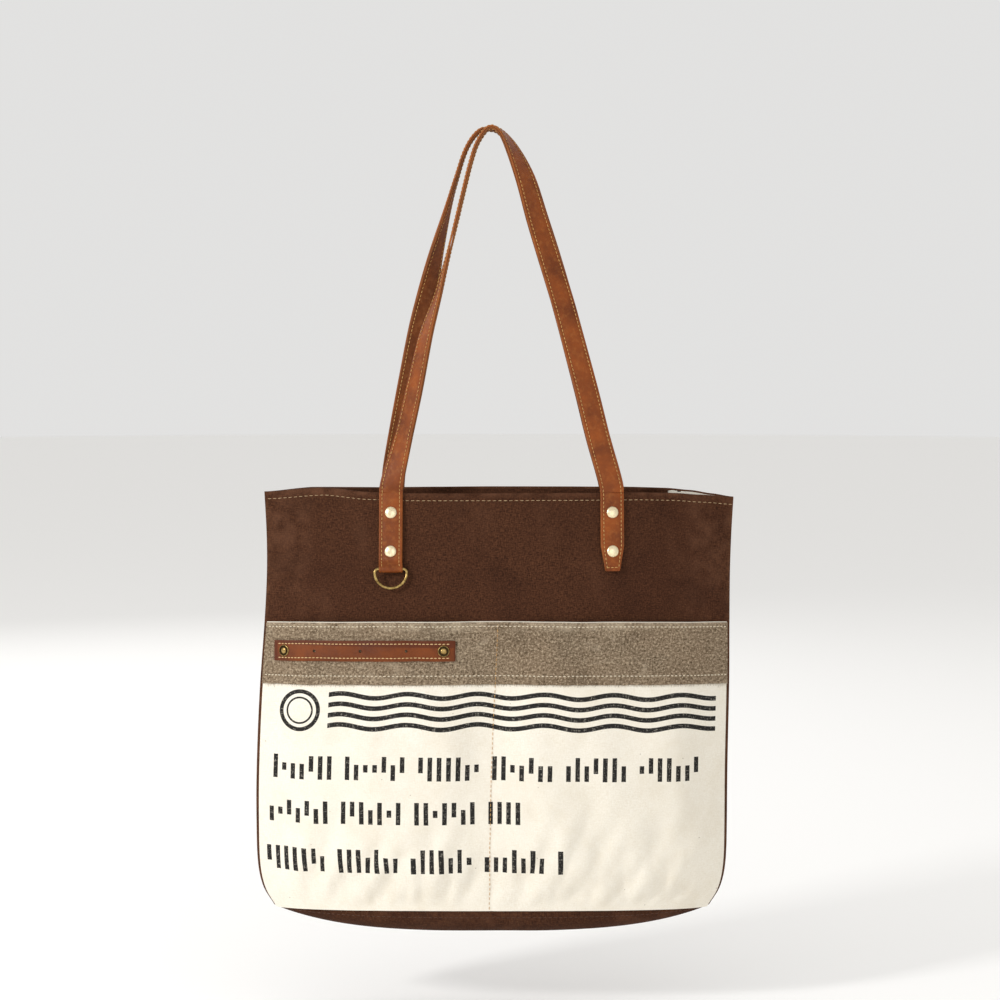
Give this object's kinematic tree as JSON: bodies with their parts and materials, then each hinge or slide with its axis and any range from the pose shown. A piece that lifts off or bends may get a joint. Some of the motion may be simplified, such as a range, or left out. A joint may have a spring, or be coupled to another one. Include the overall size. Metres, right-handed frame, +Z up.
{
  "type": "mail tote bag",
  "caption": "Upright canvas tote in the style of a mail sack, with a divided front pocket, leather shoulder handles, a D-ring and a recessed zip.",
  "frame": {"origin": "underside of the two handles' crown, where a hook's arm holds the bag up", "axes": "+Z up along the height, +X to the right as seen from the pocket side, +Y from the pocket side to the back"},
  "size_m": [0.406, 0.1096, 0.681],
  "materials": {
    "brown_canvas": "waxed cotton canvas, fine plain weave, dull",
    "taupe_canvas": "stone-washed coarse canvas, raw lower edge",
    "cream_canvas": "natural unbleached cotton canvas with a plain black print",
    "lining": "light cotton lining with small dark spots",
    "leather": "pull-up tan leather, stitched edges",
    "leather_back": "tan leather, flesh side, dull",
    "rivets": "pale brushed brass, slightly domed",
    "antique_brass": "antique brass, darkened in the recesses"
  },
  "bodies": {
    "bag": {"back_left_lower_rivet_back": "rivets", "back_left_lower_rivet_cap": "rivets", "back_left_strap_end": "leather", "back_left_upper_rivet_back": "rivets", "back_left_upper_rivet_cap": "rivets", "back_lining": "lining", "back_panel": "brown_canvas", "back_right_lower_rivet_back": "rivets", "back_right_lower_rivet_cap": "rivets", "back_right_strap_end": "leather", "back_right_upper_rivet_back": "rivets", "back_right_upper_rivet_cap": "rivets", "base_lining": "lining", "base_panel": "brown_canvas", "front_left_lower_rivet_back": "rivets", "front_left_lower_rivet_cap": "rivets", "front_left_strap_end": "leather", "front_left_upper_rivet_back": "rivets", "front_left_upper_rivet_cap": "rivets", "front_lining": "lining", "front_panel": "brown_canvas", "front_right_lower_rivet_back": "rivets", "front_right_lower_rivet_cap": "rivets", "front_right_strap_end": "leather", "front_right_upper_rivet_back": "rivets", "front_right_upper_rivet_cap": "rivets", "leather_strip": "leather", "pocket_band": "taupe_canvas", "pocket_panel": "cream_canvas", "strip_left_stud_back": "antique_brass", "strip_left_stud_cap": "antique_brass", "strip_right_stud_back": "antique_brass", "strip_right_stud_cap": "antique_brass", "zip_flap_back": "brown_canvas", "zip_flap_front": "brown_canvas", "zip_teeth_back": "antique_brass", "zip_teeth_front": "antique_brass"},
    "front_handle": {"front_handle_outer": "leather", "front_handle_inner": "leather_back"},
    "back_handle": {"back_handle_outer": "leather", "back_handle_inner": "leather_back"},
    "d_ring": {"d_ring": "antique_brass"},
    "zip_slider": {"zip_slider": "antique_brass"},
    "zip_pull": {"zip_pull": "antique_brass"}
  },
  "joints": [
    {"name": "front_handle_fold", "type": "hinge", "parent": "bag", "child": "front_handle", "pos_m": [0.0107, -0.02211, -0.304], "axis": [1, 0, 0], "range_deg": [0, 150]},
    {"name": "back_handle_fold", "type": "hinge", "parent": "bag", "child": "back_handle", "pos_m": [0.0107, 0.02211, -0.304], "axis": [-1, 0, 0], "range_deg": [0, 150]},
    {"name": "d_ring_swing", "type": "hinge", "parent": "bag", "child": "d_ring", "pos_m": [-0.0823, -0.03365, -0.3675], "axis": [-1, 0, 0], "range_deg": [0, 90]},
    {"name": "zip_slide", "type": "slide", "parent": "bag", "child": "zip_slider", "axis": [1, 0, 0], "range_m": [0, 0.268]},
    {"name": "zip_pull_swing", "type": "hinge", "parent": "zip_slider", "child": "zip_pull", "pos_m": [-0.1255, -0.0074, -0.339], "axis": [1, 0, 0], "range_deg": [-10, 40]}
  ]
}
